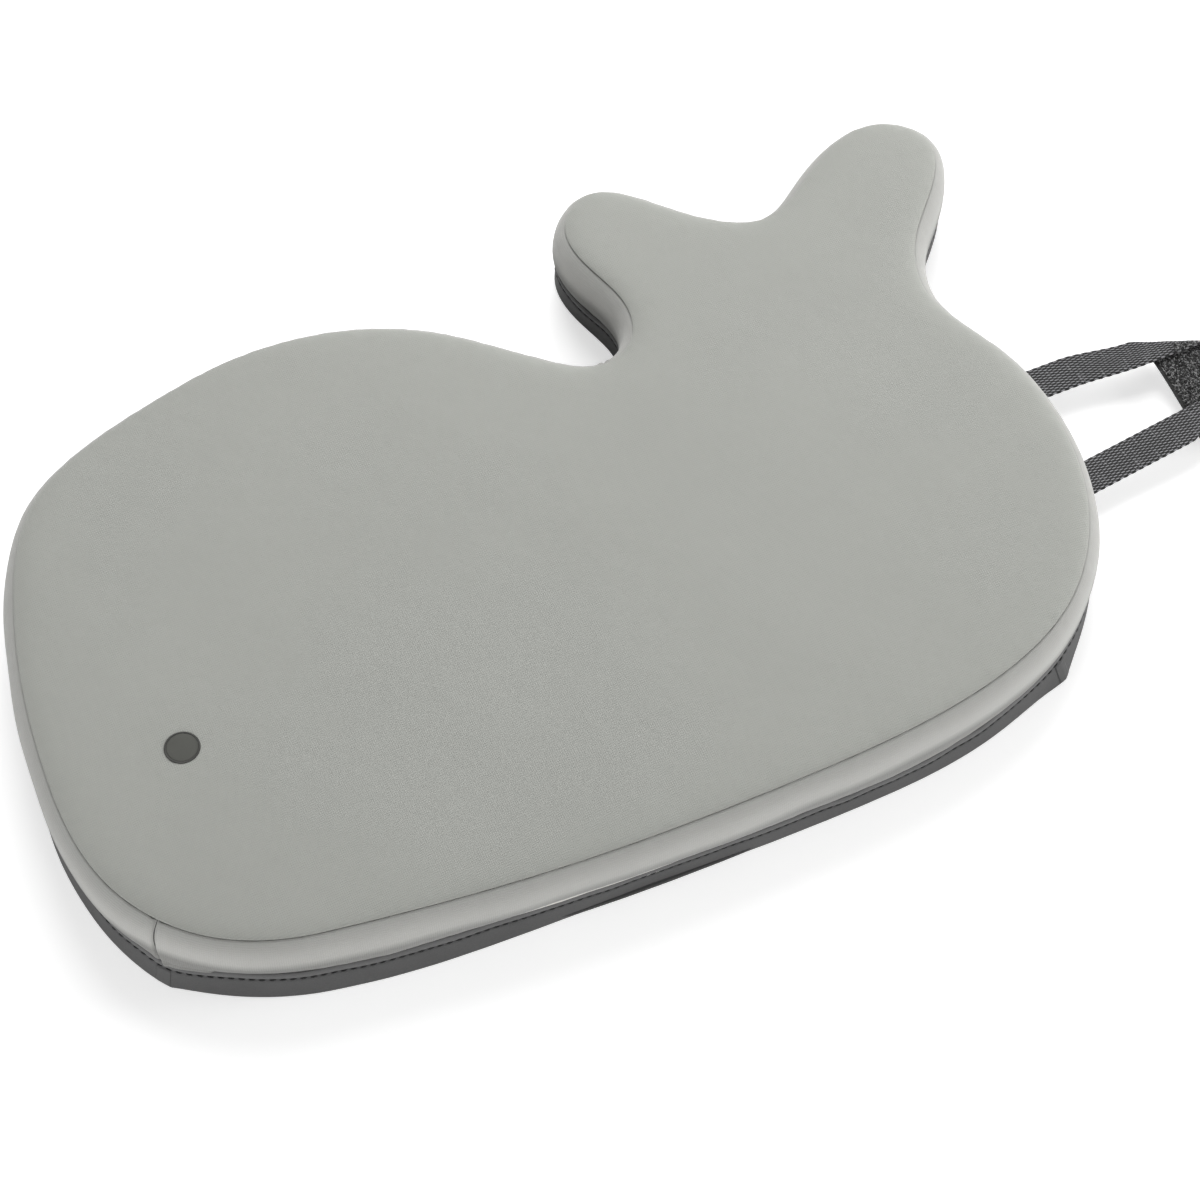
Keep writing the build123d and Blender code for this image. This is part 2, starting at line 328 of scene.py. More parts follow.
def shade(tree, shader, color, brightness):
    """Base colour times a brightness that varies over the surface."""
    mix = tree.nodes.new("ShaderNodeVectorMath")
    mix.operation = "SCALE"
    mix.inputs[0].default_value = color
    tree.links.new(brightness, mix.inputs["Scale"])
    tree.links.new(mix.outputs["Vector"], shader.inputs["Base Color"])


def bump(tree, shader, heights, distances):
    """Several bump layers, coarse to fine; distances in metres."""
    normal = None
    for height, distance in zip(heights, distances):
        node = tree.nodes.new("ShaderNodeBump")
        node.inputs["Strength"].default_value = 1.0
        node.inputs["Distance"].default_value = distance
        tree.links.new(height, node.inputs["Height"])
        if normal is not None:
            tree.links.new(normal, node.inputs["Normal"])
        normal = node.outputs["Normal"]
    tree.links.new(normal, shader.inputs["Normal"])


def set_finish(shader, roughness, sheen=0.0, sheen_roughness=0.5, specular=0.3):
    shader.inputs["Roughness"].default_value = roughness
    shader.inputs["Sheen Weight"].default_value = sheen
    shader.inputs["Sheen Roughness"].default_value = sheen_roughness
    shader.inputs["Specular IOR Level"].default_value = specular


def knit_height(tree, wale=0.95, course=0.8):
    """Rows of small V-shaped stitches, 0 to 1."""
    along, across = weave_axes(tree)
    column = math_node(tree, "DIVIDE", across, wale)
    row = math_node(tree, "DIVIDE", along, course)
    side = math_node(tree, "MULTIPLY", math_node(tree, "PINGPONG", column, 0.5), 2.0)
    slant = math_node(tree, "MULTIPLY", side, 0.55)
    turns = math_node(tree, "MULTIPLY", math_node(tree, "ADD", row, slant), 2 * math.pi)
    stitch = ramp(tree, math_node(tree, "SINE", turns), -1.0, 1.0, 0.0, 1.0)
    valley = math_node(tree, "POWER", side, 0.45)
    return math_node(tree, "MULTIPLY", math_node(tree, "ADD", stitch, 0.6), valley)


def knit_material(name, color, depth=0.00007, edges=None):
    """Fine matt jersey, a little uneven in tone, with stray fibres. edges are four places
    across a strip, in millimetres, for painted shade and a painted highlight: the tone rises
    from painted shade to a painted highlight between the first two, and falls back to painted
    shade between the last two."""
    material, tree, shader = new_material(name)
    set_finish(shader, 0.82, sheen=0.3 if edges else 0.22, sheen_roughness=0.4, specular=0.25)
    stitches = knit_height(tree)
    cloudy = noise_node(tree, 16, 2)
    fibres = noise_node(tree, 2600, 4, 0.7)
    tone = ramp(tree, stitches, 0, 1.6, 0.93, 1.04)
    tone = math_node(tree, "MULTIPLY", tone, ramp(tree, cloudy, 0.3, 0.7, 0.985, 1.015))
    tone = math_node(tree, "MULTIPLY", tone, ramp(tree, fibres, 0.25, 0.75, 0.95, 1.05))
    if edges:
        # Painted shade and highlight across the strip: darker before the first place and after the last, lighter
        # between.
        across = weave_axes(tree)[1]
        low = ramp(tree, across, edges[0], edges[1], 0.62, 1.12)
        high = ramp(tree, across, edges[2], edges[3], 1.0, 0.72)
        tone = math_node(tree, "MULTIPLY", tone, math_node(tree, "MULTIPLY", low, high))
    shade(tree, shader, color, tone)
    lumps = noise_node(tree, 120, 3)
    bump(tree, shader, (lumps, stitches, fibres), (0.0003, depth, 0.00005))
    return material


def webbing_material(name, color):
    """Coarse basket weave: light floats over dark gaps, the weave's own pattern with painted shade deepening the
    gaps, and painted glints streaked across the webbing.
    """
    material, tree, shader = new_material(name)
    set_finish(shader, 0.74, sheen=0.15, sheen_roughness=0.4, specular=0.35)
    along, across = weave_axes(tree)
    rib = math_node(tree, "DIVIDE", across, RIB)
    number = math_node(tree, "FLOOR", rib)
    ridge = math_node(tree, "MULTIPLY", math_node(tree, "PINGPONG", rib, 0.5), 2.0)
    half = math_node(tree, "MULTIPLY", number, 0.5)
    within = math_node(tree, "SUBTRACT", rib, number)
    slant = math_node(tree, "MULTIPLY", within, SLANT)
    turns = math_node(tree, "ADD", math_node(tree, "DIVIDE", along, FLOAT), half)
    turns = math_node(tree, "ADD", turns, slant)
    wave = math_node(tree, "COSINE", math_node(tree, "MULTIPLY", turns, 2 * math.pi))
    float_height = math_node(tree, "MULTIPLY", ramp(tree, wave, -0.7, 1, 0, 1), ridge)
    yarn = noise_node(tree, 3200, 3, 0.7)
    patch = noise_node(tree, 90, 2)
    # Floats lighter than the gaps: the weave's pattern, with painted shade in the gaps.
    tone = ramp(tree, float_height, 0.2, 0.66, 0.16, 4.2)
    # Painted glint: bright streaks across the webbing, added to the tone.
    column = tree.nodes.new("ShaderNodeCombineXYZ")
    tree.links.new(math_node(tree, "MULTIPLY", along, 1.1), column.inputs["X"])
    tree.links.new(math_node(tree, "MULTIPLY", across, 0.11), column.inputs["Y"])
    painted_glint = tree.nodes.new("ShaderNodeTexNoise")
    painted_glint.inputs["Scale"].default_value = 1.0
    painted_glint.inputs["Detail"].default_value = 1.0
    tree.links.new(column.outputs["Vector"], painted_glint.inputs["Vector"])
    tone = math_node(tree, "ADD", tone, ramp(tree, painted_glint.outputs["Fac"], 0.6, 0.72, 0, 0.9))
    tone = math_node(tree, "MULTIPLY", tone, ramp(tree, yarn, 0.3, 0.7, 0.78, 1.22))
    tone = math_node(tree, "MULTIPLY", tone, ramp(tree, patch, 0.3, 0.7, 0.92, 1.08))
    shade(tree, shader, color, tone)
    bump(tree, shader, (float_height, yarn), (0.00012, 0.00006))
    return material


def plain_material(name, color, roughness, grain, depth, sheen=0.0, uneven=0.08, specular=0.3):
    """A grainy surface for the base, threads, binding and small trim."""
    material, tree, shader = new_material(name)
    set_finish(shader, roughness, sheen=sheen, specular=specular)
    fine = noise_node(tree, grain, 4, 0.65)
    wide = noise_node(tree, grain / 30, 2)
    tone = ramp(tree, fine, 0.3, 0.7, 1 - uneven, 1 + uneven)
    tone = math_node(tree, "MULTIPLY", tone, ramp(tree, wide, 0.3, 0.7, 0.94, 1.06))
    shade(tree, shader, color, tone)
    bump(tree, shader, (wide, fine), (depth * 2, depth))
    return material


def yarn_material(name, color):
    """Brushed yarn loops, each with its own tone."""
    material, tree, shader = new_material(name)
    set_finish(shader, 0.85, sheen=0.2, specular=0.2)
    own_tone = weave_parts(tree)["Z"]
    tone = ramp(tree, math_node(tree, "POWER", own_tone, 3.0), 0, 1, 0.15, 8.5)
    fuzz = noise_node(tree, 2500, 3, 0.7)
    tone = math_node(tree, "MULTIPLY", tone, ramp(tree, fuzz, 0.3, 0.7, 0.7, 1.3))
    shade(tree, shader, color, tone)
    bump(tree, shader, (fuzz,), (0.00008,))
    return material


def thread_material(name, color):
    """Twisted sewing thread."""
    material, tree, shader = new_material(name)
    set_finish(shader, 0.6, sheen=0.1, specular=0.4)
    along, across = weave_axes(tree)
    turns = math_node(tree, "ADD", math_node(tree, "MULTIPLY", along, 9.0), across)
    twist = ramp(tree, math_node(tree, "SINE", turns), -1, 1, 0, 1)
    shade(tree, shader, color, ramp(tree, twist, 0, 1, 0.75, 1.2))
    bump(tree, shader, (twist,), (0.00005,))
    return material


RIB = 0.7       # one rib of the webbing across, and one float along, in millimetres
FLOAT = 3.8
SLANT = 0.16    # how far each float leans, as a share of its length
TOP_CLOTH = knit_material("top_knit", record_colors["cover_top"])
# The side band's edges give painted shade at its foot and under the top seam, with a painted highlight between.
SIDE_CLOTH = knit_material("side_knit", record_colors["cover_side"], edges=(10.5, 15, 18, 29))
WEBBING = webbing_material("webbing", record_colors["webbing"])
RIM = plain_material("rim_sheet", [0.84 * c for c in record_colors["rim"]], 0.62, 1500, 0.00006, 0.1)
LIP = plain_material("lip_binding", record_colors["lip"], 0.75, 1900, 0.00008, 0.2)
BASE = plain_material("base_sheet", record_colors["base"], 0.7, 1200, 0.0001)
GROUND_THREAD = thread_material("rim_thread", [0.35 * c for c in record_colors["rim_thread"]])
PILE_YARN = yarn_material("pile_yarn", record_colors["pile"])
SEAM_THREAD = thread_material("seam_thread", [0.45 * c for c in record_colors["thread"]])
EYE = plain_material("eye_cloth", [0.78 * c for c in record_colors["eye"]], 0.7, 2400, 0.00005, 0.1, 0.05)
EYE_EDGE = thread_material("eye_edge", record_colors["eye_edge"])
PILE = plain_material("loop_pile", record_colors["pile"], 0.95, 900, 0.0003, 0.25, 0.35, 0.1)
HOOK = plain_material("hook_tape", record_colors["hook"], 0.45, 1400, 0.00008)
FOAM = plain_material("foam", record_colors["foam"], 0.9, 900, 0.0002)


# ---------------------------------------------------------------- the top panel
# How far each row of the top's rounded edge lies inside the seam, in millimetres
EDGE_ROWS = np.array([0.0, 0.15, 0.4, 0.8, 1.4, 2.2, 3.2, 4.6, 6.4, 8.6])


def triangulate(rows, pitch=4.0):
    """A flat mesh of the top: rows along its edge, and an even lattice inside them."""
    points, out = along_line(STATIONS)
    rings = [points - out * inset for inset in rows]
    inner = points - out * (rows[-1] + pitch * 0.6)
    low, high = points.min(0), points.max(0)
    lattice = []
    for j, y in enumerate(np.arange(low[1], high[1], pitch * 0.866)):
        for x in np.arange(low[0] + (j % 2) * pitch / 2, high[0], pitch):
            lattice.append((x, y))
    lattice = np.array(lattice)
    lattice = lattice[inside_of(lattice, inner)]
    flat = np.vstack(rings + [lattice])
    count = len(STATIONS)
    edges = [(j, (j + 1) % count) for j in range(count)]
    result = delaunay_2d_cdt([Vector(p) for p in flat], edges, [], 1, 1e-5)
    made, faces, origins = np.array(result[0]), result[2], result[3]
    source = np.array([o[0] if o else -1 for o in origins])
    return made, np.array([list(f) for f in faces]), source, count


def inside_of(points, loop):
    """Which points lie inside a closed loop."""
    x, y = points[:, 0], points[:, 1]
    inside = np.zeros(len(points), bool)
    for (x1, y1), (x2, y2) in zip(loop, np.roll(loop, -1, axis=0)):
        if y1 == y2:
            continue
        crosses = (y1 > y) != (y2 > y)
        inside ^= crosses & (x < (x2 - x1) * (y - y1) / (y2 - y1) + x1)
    return inside


def pressed_height(flat, faces, edge):
    """The height of a skin that is held at its edge and pressed up evenly from below, 0 to 1."""
    a, b, c = (flat[faces[:, k]] for k in range(3))
    pairs, weights = [], []
    for p, q, r, i, j in ((a, b, c, 0, 1), (b, c, a, 1, 2), (c, a, b, 2, 0)):
        u, v = p - r, q - r
        cot = (u * v).sum(1) / np.maximum(np.abs(u[:, 0] * v[:, 1] - u[:, 1] * v[:, 0]), 1e-9)
        pairs.append(faces[:, [i, j]])
        weights.append(np.clip(cot, 0.02, 50) / 2)
    pairs, weights = np.vstack(pairs), np.concatenate(weights)
    i, j, n = pairs[:, 0], pairs[:, 1], len(flat)
    area = np.abs((b - a)[:, 0] * (c - a)[:, 1] - (b - a)[:, 1] * (c - a)[:, 0]) / 2
    load = np.zeros(n)
    for k in range(3):
        load += np.bincount(faces[:, k], area / 3, n)
    free = ~edge

    def pull(h):
        flow = weights * (h[i] - h[j])
        return np.where(free, np.bincount(i, flow, n) - np.bincount(j, flow, n), h)

    scale = np.bincount(i, weights, n) + np.bincount(j, weights, n)
    scale = np.where(free, np.maximum(scale, 1e-9), 1)
    height, rest = np.zeros(n), np.where(free, load, 0)
    step = rest / scale
    power = rest @ step
    for _ in range(700):
        pulled = pull(step)
        share = power / (step @ pulled)
        height += share * step
        rest = rest - share * pulled
        if abs(rest).max() < 1e-9:
            break
        eased = rest / scale
        power, before = rest @ eased, power
        step = eased + power / before * step
    return height / height.max()


def make_top():
    """The crowned top panel, rolled down to the seam at its edge."""
    rows = EDGE_ROWS
    flat, faces, source, count = triangulate(rows)
    row = np.where(source < 0, len(rows), source // count)
    inset = np.where(row < len(rows), rows[np.minimum(row, len(rows) - 1)], 99.0)
    pressed = pressed_height(flat, faces, row == 0)
    roll = 0.35 * (1 - np.exp(-inset / 0.35)) + 1.85 * (1 - np.exp(-inset / 3.6))
    crown = (TOP_Z + 0.15 - SEAM_Z - 2.2) * pressed**0.5
    dents = waves(flat[:, 0] + 0.6 * flat[:, 1], (61, 97, 143), 0.10, 3)
    dents += waves(flat[:, 1] - 0.4 * flat[:, 0], (53, 83, 131), 0.10, 4)
    along = np.where(row < len(rows), STATIONS[np.where(source >= 0, source % count, 0)], 0)
    pucker = waves(along, (7.3, 11.7, 17.9), 0.09, 5) * np.exp(-((inset - 1.8) / 1.8) ** 2)
    z = SEAM_Z - 0.1 + roll + crown + dents * np.clip(pressed * 6, 0, 1) + pucker
    top = np.column_stack([flat, z])
    points, out = along_line(STATIONS)
    low_xy = flat.copy()
    in_rows = row < len(rows)
    shift = (1.2 - 0.26 * inset)[in_rows]
    low_xy[in_rows] -= out[source[in_rows] % count] * shift[:, None]
    low_z = np.where(row == 0, SEAM_Z - 0.6, SEAM_Z - 0.42)
    under = np.column_stack([low_xy, low_z])
    edge_order = np.argsort(np.where(row == 0, source, 10**9))[:count]
    tuck = []
    for spread, height in ((-0.06, -0.2), (-0.35, -0.36), (-0.9, -0.42)):
        ring = points + out * spread
        tuck.append(np.column_stack([ring, np.full(count, SEAM_Z + height)]))
    n = len(flat)
    vertices = np.vstack([top, under] + tuck)
    loops = [edge_order] + [2 * n + k * count + np.arange(count) for k in range(3)]
    loops.append(n + edge_order)
    all_faces = [list(f) for f in faces] + [[n + v for v in f[::-1]] for f in faces]
    for upper, lower in zip(loops, loops[1:]):
        for j in range(count):
            k = (j + 1) % count
            all_faces.append([upper[j], upper[k], lower[k], lower[j]])
    weave = np.column_stack([vertices[:, 0], vertices[:, 1], np.zeros(len(vertices))])
    piece = finish_mesh("cover_top", vertices, all_faces, TOP_CLOTH, weave)
    return piece, top


# ---------------------------------------------------------------- the side band
def side_profile():
    """Outside from the foot up to the tuck under the top, then back down the inside."""
    outside = rounded(
        [(2.6, 8.6), (3.0, 10.6), (3.9, 12.0), (4.85, 14.2), (5.35, 17), (5.45, 20), (5.2, 23.5),
         (4.65, 26.6), (3.75, 29.2), (2.6, 31.1), (1.5, 32.35), (0.75, 32.95), (0.2, 33.2),
         (-0.35, 33.15), (-1.1, 32.8)],
        52,
    )
    inside = rounded([(-1.45, 32.0), (1.2, 29), (3.4, 23), (3.6, 17), (1.9, 11), (1.6, 8.6)], 14)
    return np.vstack([outside, inside])


def side_shape(s, spread, height):
    """Slack in the cloth, gathers below the seam, a pinched groove at each join, and the fold
    that laps over the rim beside the nose."""
    up = np.clip((height - 10) / (SEAM_Z - 10), 0, 1)
    belly = np.sin(math.pi * up)
    foot = 1 - smooth_step(height, 11.5, 21)
    spread = spread + (lip_spread(s)[None] - 3.5) * foot
    spread += waves(s, (47, 71, 113), 0.3, 6)[None] * belly
    spread += waves(s, (6.1, 9.7, 14.3), 0.10, 7)[None] * np.exp(-((up - 0.9) / 0.1) ** 2)
    spread += waves(s, (8.3, 13.1, 21.7), 0.12, 8)[None] * np.exp(-(up / 0.15) ** 2)
    for place, lean in JOIN_LEANS.values():
        near = gap_to(s[None], place) - lean * (up - 0.5) + 1.0 * np.sin(math.pi * up)
        spread -= 1.15 * np.exp(-(near / 0.5) ** 2)
        ends = np.exp(-((up - 0.06) / 0.09) ** 2) + np.exp(-((up - 0.93) / 0.08) ** 2)
        spread += 0.45 * np.exp(-((np.abs(near) - 2.0) / 1.1) ** 2) * (0.35 + 0.9 * ends)
    past = gap_to(s[None], NOSE_S)
    fold_top = 14.2 - 0.16 * past
    window = smooth_step(past, 0.6, 3.0) * (1 - smooth_step(past, 18, 27))
    spread += 1.1 * window * smooth_step(fold_top - height, -0.3, 0.3)
    return spread, height


JOIN_LEANS = {"nose": (NOSE_S, -2.2), "tail": (TAIL_S, 0.0)}


def make_join_thread(name):
    """The thread that closes one of the side band's two upright seams."""
    place, lean = JOIN_LEANS[name]
    up = np.linspace(0.06, 0.955, 44)
    height = 10 + up * (SEAM_Z - 10)
    outside = side_profile()[:52]
    s = place + lean * (up - 0.5) - 1.0 * np.sin(math.pi * up)
    order = np.argsort(outside[:48, 1])
    rest = np.interp(height, outside[:48, 1][order], outside[:48, 0][order])
    spread = np.array([side_shape(np.array([a]), np.array([[b]]), np.array([[c]]))[0][0, 0]
                       for a, b, c in zip(s, rest, height)])
    points, out = along_line(s)
    middle = np.column_stack([points + out * (spread + 0.12)[:, None], height])
    angles = np.arange(8) * math.pi / 4
    side = np.column_stack([-out[:, 1], out[:, 0], np.zeros(44)])
    proud = np.column_stack([out, np.zeros(44)])
    ring = middle[:, None] + 0.26 * (
        side[:, None] * np.cos(angles)[None, :, None] + proud[:, None] * np.sin(angles)[None, :, None]
    )
    faces = grid_faces(44, 8, wrap_columns=True)
    faces += [list(range(8)), list(range(43 * 8, 44 * 8))]
    weave = np.stack(np.broadcast_arrays(height[:, None], angles[None], 0.0), -1).reshape(-1, 3)
    piece = finish_mesh("join_thread_" + name, ring.reshape(-1, 3), faces, SEAM_THREAD, weave)
    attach(piece, "pad")
    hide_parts("band_seam_" + name)


def make_side_bands():
    profile = side_profile()
    first = sweep("cover_side_belly", profile, NOSE_S, TAIL_S, SIDE_CLOTH, side_shape)
    second = sweep("cover_side_back", profile, TAIL_S, NOSE_S, SIDE_CLOTH, side_shape)
    return first, second


# ---------------------------------------------------------------- threads
def capsules(name, centres, directions, ups, length, thick, material, bulge=0.35):
    """Many short stitches, each an arched bead of thread."""
    rings, sides = 5, 6
    vertices, faces, weave = [], [], []
    angles = np.arange(sides) * 2 * math.pi / sides
    for centre, along, up in zip(centres, directions, ups):
        across = np.cross(up, along)
        across /= np.linalg.norm(across) + 1e-9
        tone = seeded.uniform(0, 1)
        start = len(vertices)
        for k in range(rings):
            t = 2 * k / (rings - 1) - 1
            radius = thick / 2 * math.sqrt(max(1 - (abs(t) ** 3), 0.04))
            middle = centre + along * (t * length / 2) + up * (bulge * thick * (1 - t * t))
            for angle in angles:
                side = across * math.cos(angle) + up * math.sin(angle)
                vertices.append(middle + side * radius)
                weave.append((t * length / 2, angle, tone))
        faces += grid_faces(rings, sides, wrap_columns=True, start=start)
        faces.append([start + j for j in range(sides)])
        faces.append([start + (rings - 1) * sides + j for j in range(sides)])
    return finish_mesh(name, vertices, faces, material, weave)


def line_stitches(name, spread, height, pitch, length, thick, material, lean=0.0, shape=None):
    """Stitches along the whole outline, at one spread and height."""
    count = int(LENGTH / pitch)
    s = np.arange(count) * LENGTH / count
    points, out = along_line(s)
    spread, height = np.full((1, len(s)), float(spread)), np.full((1, len(s)), float(height))
    if shape:
        spread, height = shape(s, spread, height)
    centres = np.column_stack([points + out * spread[0][:, None], height[0]])
    along = np.column_stack([-out[:, 1], out[:, 0], np.full(len(s), lean)])
    along += seeded.normal(0, 0.02, along.shape)
    along /= np.linalg.norm(along, axis=1)[:, None]
    ups = np.column_stack([out, np.zeros(len(s))])
    return capsules(name, centres, along, ups, length, thick, material)


# ---------------------------------------------------------------- the base
RIM_TOP = LIP_Z + 1.1       # the turned-up sheet stands a little higher than its solid


def humps(s, level, rows):
    """A level with rounded humps along the outline, each given as (place, half width, size)."""
    return level + sum(
        size * np.exp(-((gap_to(s, place) / width) ** 2)) for place, width, size in rows
    )


def corner(s, place, before, after, size):
    """A pointed corner. before and after are its (width, sharpness) on either side."""
    gap = gap_to(s, place)
    width, power = (np.where(gap < 0, *pair) for pair in zip(before, after))
    return size * np.exp(-((np.abs(gap) / width) ** power))


def foot_spread(s):
    """How far the sheet's folded foot stands out: it leans out along the front, is tucked in
    under the belly, and stands out most at its two pointed corners."""
    swell = humps(s, 4.65, (
        (80, 46, 3.0), (184, 40, -1.6), (320, 45, 1.7), (440, 50, 1.1),
        (590, 50, -0.3), (920, 80, 0.35), (1303, 17, 0.5),
    ))
    nose = corner(s, NOSE_S + 5, (27, 1.4), (18, 0.9), 4.5)
    belly = corner(s, BELLY_S + 2, (10.5, 1.44), (11.5, 1.13), 4.1)
    return swell + nose + belly


def lip_spread(s):
    """How far the binding's inner edge stands out: it is drawn in beside the nose join and
    along the belly's front."""
    return humps(s, 3.35, (
        (4, 10.5, 1.75), (36, 24, -1.1), (82, 14, 0.4), (140, 36, -1.65),
        (198, 38, -1.35), (294, 27, 0.95), (367, 20, -0.65), (1326, 18, -1.35),
    ))


def rim_shape(s, spread, height):
    """Turns the strip's own measures (depth, height) into its leaning place along the outline."""
    foot, top = foot_spread(s)[None], lip_spread(s)[None] + 0.9
    up = np.clip(height / LIP_Z, 0, 1.2)
    lean = foot + (top - foot) * up**0.9
    lean += waves(s, (31, 53, 89), 0.12, 9)[None] * np.clip(up * 2, 0, 1)
    slack = 0.2 + 0.3 * smooth_step(gap_to(s, BELLY_S - 75), -55, -30) * smooth_step(
        -gap_to(s, BELLY_S - 75), -55, -30
    )
    wavy = (slack * waves(s, (19, 31, 47), 1.0, 10))[None] * np.clip(up * 1.5 - 0.5, 0, 1)
    return lean + spread, np.maximum(height * (RIM_TOP / LIP_Z) + wavy, 0)


def rim_profile(grow=0.0):
    """The sheet's strip: spread is the depth behind its leaning face."""
    return rounded(
        [(-1.9, 0.02), (-0.5, 0.0), (-0.05, 0.25), (0.05 + grow, 1.0), (0.05 + grow, 3.6),
         (0.05 + grow, RIM_Z - 1.9), (-0.05 + grow, RIM_Z - 1.2), (-0.35, RIM_Z - 0.85),
         (-0.5, RIM_Z - 0.45), (-0.45, RIM_Z - 0.05), (-1.1, RIM_Z), (-1.3, RIM_Z - 0.5),
         (-1.4, 3.0), (-1.7, 0.4)],
        40,
    )


def lip_profile():
    return rounded(
        [(-0.95, RIM_Z + 0.05), (-0.35, RIM_Z + 0.08), (0.12, RIM_Z + 0.4), (0.2, RIM_Z + 0.95),
         (0.02, RIM_Z + 1.5), (-0.4, RIM_Z + 1.85), (-0.9, RIM_Z + 1.9), (-1.15, RIM_Z + 1.5),
         (-1.15, RIM_Z + 0.5)],
        24,
    )


def make_base():
    """The rim in two lengths, its binding and the lapped corners."""
    pieces = {
        "rim_belly": (sweep("rim_belly", rim_profile(), NOSE_S, BELLY_S, RIM, rim_shape), "base_rim_belly"),
        "rim_back": (sweep("rim_back", rim_profile(), BELLY_S, NOSE_S, RIM, rim_shape), "base_rim_back"),
        "lip_belly": (sweep("lip_belly", lip_profile(), NOSE_S, BELLY_S, LIP, rim_shape), "rim_lip_belly"),
        "lip_back": (sweep("lip_back", lip_profile(), BELLY_S, NOSE_S, LIP, rim_shape), "rim_lip_back"),
    }
    for name, place in (("nose", NOSE_S), ("belly", BELLY_S)):
        lap = sweep("rim_lap_" + name, rim_profile(0.3), place - 1.0, place + 4.5, RIM, rim_shape)
        pieces["rim_lap_" + name] = (lap, "rim_corner_" + name)
    for piece, node in pieces.values():
        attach(piece, "pad")
        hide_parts(node)


def make_sheet():
    """The non-slip sheet under the pad, with small grip dots moulded on it."""
    points, out = along_line(STATIONS)
    ring = points + out * 4.0
    n = len(ring)
    vertices = [(*p, z) for z in (0.45, SHEET_Z) for p in ring]
    faces = [list(range(n)), list(range(2 * n - 1, n - 1, -1))]
    faces += [[j, (j + 1) % n, n + (j + 1) % n, n + j] for j in range(n)]
    inner = points - out * 3.0
    pitch, sides = 9.0, 12
    low, high = inner.min(0), inner.max(0)
    dots = []
    for j, y in enumerate(np.arange(low[1], high[1], pitch * 0.866)):
        for x in np.arange(low[0] + (j % 2) * pitch / 2, high[0], pitch):
            dots.append((x, y))
    dots = np.array(dots)
    for x, y in dots[inside_of(dots, inner)]:
        start = len(vertices)
        for radius, z in ((1.7, 0.5), (1.6, 0.2), (1.1, 0.0)):
            for k in range(sides):
                angle = 2 * math.pi * k / sides
                vertices.append((x + radius * math.cos(angle), y + radius * math.sin(angle), z))
        faces += grid_faces(3, sides, wrap_columns=True, start=start)
        faces.append([start + k for k in range(sides)])
        faces.append([start + 2 * sides + k for k in range(sides)])
    piece = finish_mesh("base_sheet", vertices, faces, BASE, smooth=False)
    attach(piece, "pad")
    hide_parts("base_panel")


# ---------------------------------------------------------------- the eye
def make_eye(top):
    """A flat disc let into the cloth, with a close stitched edge."""
    centre = centre_of("eye_disc")
    outer = (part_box("eye_edge")[1].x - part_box("eye_edge")[0].x) / 2 / MM
    inner = (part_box("eye_disc")[1].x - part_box("eye_disc")[0].x) / 2 / MM
    near = top[np.argsort(((top[:, :2] - centre) ** 2).sum(1))[:40]]
    plane = np.linalg.lstsq(np.column_stack([near[:, :2] - centre, np.ones(len(near))]), near[:, 2])[0]
    rings, sides = 9, 72

    def on_top(x, y, lift):
        return (centre[0] + x, centre[1] + y, plane[0] * x + plane[1] * y + plane[2] + lift)

    vertices, faces = [], []
    for lift_sign in (1, -1):
        for k in range(rings):
            radius = (inner + 0.3) * (k + 0.001) / (rings - 1)
            lift = 0.16 * (1 - (radius / outer) ** 4) + 0.06 if lift_sign > 0 else -0.3
            for j in range(sides):
                angle = 2 * math.pi * j / sides
                vertices.append(on_top(radius * math.cos(angle), radius * math.sin(angle), lift))
    faces += grid_faces(rings, sides, wrap_columns=True)
    faces += grid_faces(rings, sides, wrap_columns=True, start=rings * sides)
    last, low = (rings - 1) * sides, (2 * rings - 1) * sides
    faces += [[last + j, last + (j + 1) % sides, low + (j + 1) % sides, low + j] for j in range(sides)]
    faces += [list(range(sides)), list(range(rings * sides, rings * sides + sides))]
    disc = finish_mesh("eye_patch", vertices, faces, EYE)
    count = 132
    angles = np.arange(count) * 2 * math.pi / count
    radial = np.column_stack([np.cos(angles), np.sin(angles), 0 * angles])
    centres = [on_top(*(r[:2] * (inner + outer) / 2), 0.1) for r in radial]
    ups = np.tile((0.0, 0.0, 1.0), (count, 1))
    edge = capsules("eye_stitching", np.array(centres), radial, ups, 0.95, 0.36, EYE_EDGE, 0.25)
    for piece, node, slot in ((disc, "eye_disc", "eye"), (edge, "eye_edge", "eye_edge")):
        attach(piece, "pad")
        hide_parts(node)


# ---------------------------------------------------------------- the hanging loop
swing = next(j for j in frame["joints"] if j["name"] == "loop_swing")
peel = next(j for j in frame["joints"] if j["name"] == "tab_peel")
SWING_X = swing["pos_m"][0] / MM
PEEL_AT = np.array(peel["pos_m"][:2]) / MM
HEADING = math.atan2(peel["axis"][0], -peel["axis"][1])
FORWARD = np.array([math.cos(HEADING), math.sin(HEADING)])
LEFTWARD = np.array([-math.sin(HEADING), math.cos(HEADING)])
LEG_LENGTH = float(np.hypot(*(PEEL_AT - (SWING_X, PEEL_AT[1] - (PEEL_AT[0] - SWING_X) * math.tan(HEADING)))))
LOWER_START = PEEL_AT - FORWARD * LEG_LENGTH
UPPER_LOW, UPPER_HIGH = (corner.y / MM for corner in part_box("upper_strap_root"))
UPPER_Y = (UPPER_LOW + UPPER_HIGH) / 2
HALF = (UPPER_HIGH - UPPER_LOW) / 2
ROOT_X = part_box("upper_strap_root")[0].x / MM
PILE_LOW, PILE_HIGH = (np.array(corner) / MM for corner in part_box("pile_tape"))
FOLD_ANGLE = math.radians(27)
FOLD_FAR = np.array([SWING_X + 43.0, UPPER_Y + HALF])
FOLD_RADIUS = (STRAP_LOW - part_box("upper_strap")[0].z / MM) / 2


